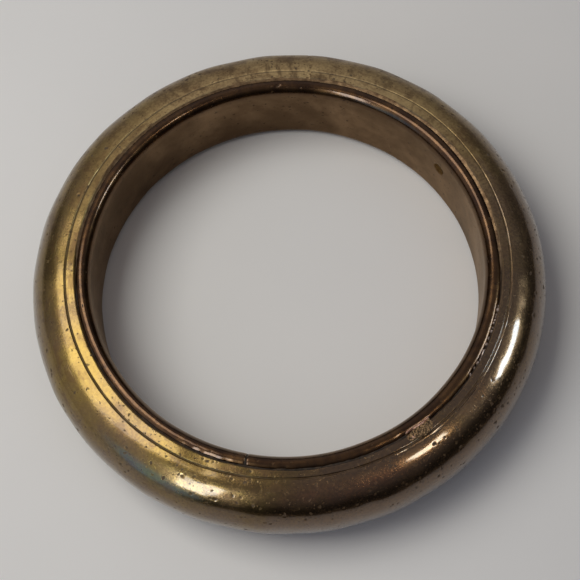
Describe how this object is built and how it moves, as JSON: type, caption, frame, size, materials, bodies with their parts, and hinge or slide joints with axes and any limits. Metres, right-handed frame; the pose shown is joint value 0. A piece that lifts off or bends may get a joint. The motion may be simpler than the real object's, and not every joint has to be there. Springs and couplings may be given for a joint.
{
  "type": "bangle bracelet",
  "caption": "Hollow round bangle: a domed sheet-brass shell with flat shoulders and a scribed groove, soldered round a channel-shaped liner with a plain bore.",
  "frame": {"origin": "centre of the lower face, on the axis of the opening, with the bangle lying flat", "axes": "+Z along the axis of the opening, upwards; -Y towards a viewer in front; the shell's soldered joint is near +Y"},
  "size_m": [0.0864, 0.0864, 0.015],
  "materials": {
    "shell_brass": "polished under smoky olive-brown tarnish, pitted",
    "liner_brass": "dull reddish-brown tarnish",
    "seam_solder": "filed flush, rough and pitted",
    "dark_solder": "rough, dirt-filled",
    "repair_solder": "granular, pinkish, scraped",
    "plug_solder": "dull dark brown"
  },
  "bodies": {
    "root": {"outer_shell": "shell_brass", "inner_liner": "liner_brass", "shell_seam_solder": "seam_solder", "liner_seam_solder": "dark_solder", "upper_joint_solder": "dark_solder", "lower_joint_solder": "dark_solder", "repair_solder_patch": "repair_solder", "vent_plug": "plug_solder"}
  },
  "joints": []
}
